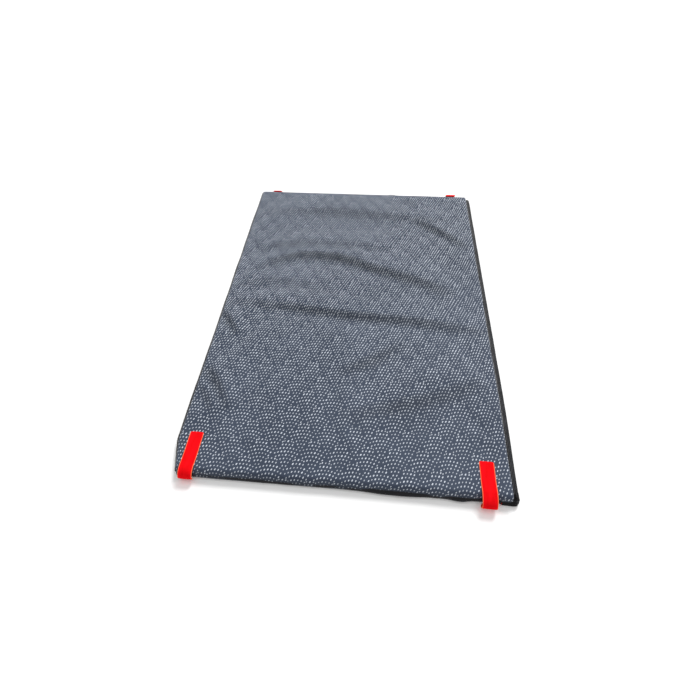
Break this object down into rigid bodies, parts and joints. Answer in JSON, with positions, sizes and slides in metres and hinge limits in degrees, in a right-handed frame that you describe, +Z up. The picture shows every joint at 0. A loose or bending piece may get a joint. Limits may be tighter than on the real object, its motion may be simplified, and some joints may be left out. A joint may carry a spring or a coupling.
{
  "type": "infrared sauna blanket",
  "caption": "Two-panel heated sauna blanket, folded flat along a piped long seam, with a dot-printed top and red hook-and-loop end straps.",
  "frame": {"origin": "middle of the whole closed blanket's box, at its underside", "axes": "+X from the piped seam to the open long side, +Y along the length to the head end, +Z up"},
  "size_m": [1.14, 1.8494, 0.0463],
  "materials": {
    "black_hook_tape": "matte",
    "black_nylon": "satin",
    "black_plastic": "satin",
    "brass": "polished",
    "carrier_felt": "matte",
    "dotted_fabric": "matte",
    "heating_cable_jacket": "satin",
    "lead_jacket": "satin",
    "red_loop_tape": "matte",
    "reflective_foil": "satin",
    "rivet_steel": "satin",
    "waterproof_lining": "satin",
    "white_wadding": "matte"
  },
  "bodies": {
    "lower_panel": {"lower_clamp_plate": "rivet_steel", "lower_contact_pin_1": "brass", "lower_contact_pin_2": "brass", "lower_contact_pin_3": "brass", "lower_cover": "black_nylon", "lower_felt": "carrier_felt", "lower_foil": "reflective_foil", "lower_heating_cable": "heating_cable_jacket", "lower_inlet_housing": "black_plastic", "lower_inlet_rivet_1": "rivet_steel", "lower_inlet_rivet_2": "rivet_steel", "lower_lining": "waterproof_lining", "lower_live_lead": "lead_jacket", "lower_return_lead": "lead_jacket", "lower_sensor_lead": "lead_jacket", "lower_temperature_sensor": "rivet_steel", "lower_thermal_cutout_1": "black_plastic", "lower_thermal_cutout_2": "black_plastic", "lower_wadding": "white_wadding", "seam_piping": "black_nylon", "side_hook_strip": "black_hook_tape", "strap_far_left_patch": "black_hook_tape", "strap_far_right_patch": "black_hook_tape", "strap_near_left_patch": "black_hook_tape", "strap_near_right_patch": "black_hook_tape"},
    "upper_panel": {"side_loop_strip": "black_hook_tape", "strap_far_left_tab": "red_loop_tape", "strap_far_right_tab": "red_loop_tape", "strap_near_left_tab": "red_loop_tape", "strap_near_right_tab": "red_loop_tape", "upper_clamp_plate": "rivet_steel", "upper_contact_pin_1": "brass", "upper_contact_pin_2": "brass", "upper_contact_pin_3": "brass", "upper_cover": "dotted_fabric", "upper_felt": "carrier_felt", "upper_foil": "reflective_foil", "upper_heating_cable": "heating_cable_jacket", "upper_inlet_housing": "black_plastic", "upper_inlet_rivet_1": "rivet_steel", "upper_inlet_rivet_2": "rivet_steel", "upper_lining": "waterproof_lining", "upper_live_lead": "lead_jacket", "upper_return_lead": "lead_jacket", "upper_sensor_lead": "lead_jacket", "upper_temperature_sensor": "rivet_steel", "upper_thermal_cutout_1": "black_plastic", "upper_thermal_cutout_2": "black_plastic", "upper_wadding": "white_wadding"},
    "strap_near_left": {"strap_near_left_leg": "red_loop_tape"},
    "strap_near_right": {"strap_near_right_leg": "red_loop_tape"},
    "strap_far_left": {"strap_far_left_leg": "red_loop_tape"},
    "strap_far_right": {"strap_far_right_leg": "red_loop_tape"}
  },
  "joints": [
    {"name": "upper_panel_fold", "type": "hinge", "parent": "lower_panel", "child": "upper_panel", "pos_m": [-0.567, 0, 0.022], "axis": [0, -1, 0], "range_deg": [0, 175]},
    {"name": "strap_near_left_peel", "type": "hinge", "parent": "upper_panel", "child": "strap_near_left", "pos_m": [-0.5117, -0.90394, 0.04252], "axis": [-1, 0, 0], "range_deg": [0, 160]},
    {"name": "strap_near_right_peel", "type": "hinge", "parent": "upper_panel", "child": "strap_near_right", "pos_m": [0.482, -0.9117, 0.0427], "axis": [-1, 0, 0], "range_deg": [0, 160]},
    {"name": "strap_far_left_peel", "type": "hinge", "parent": "upper_panel", "child": "strap_far_left", "pos_m": [-0.4827, 0.90503, 0.04256], "axis": [1, 0, 0], "range_deg": [0, 160]},
    {"name": "strap_far_right_peel", "type": "hinge", "parent": "upper_panel", "child": "strap_far_right", "pos_m": [0.472, 0.9117, 0.0427], "axis": [1, 0, 0], "range_deg": [0, 160]}
  ]
}
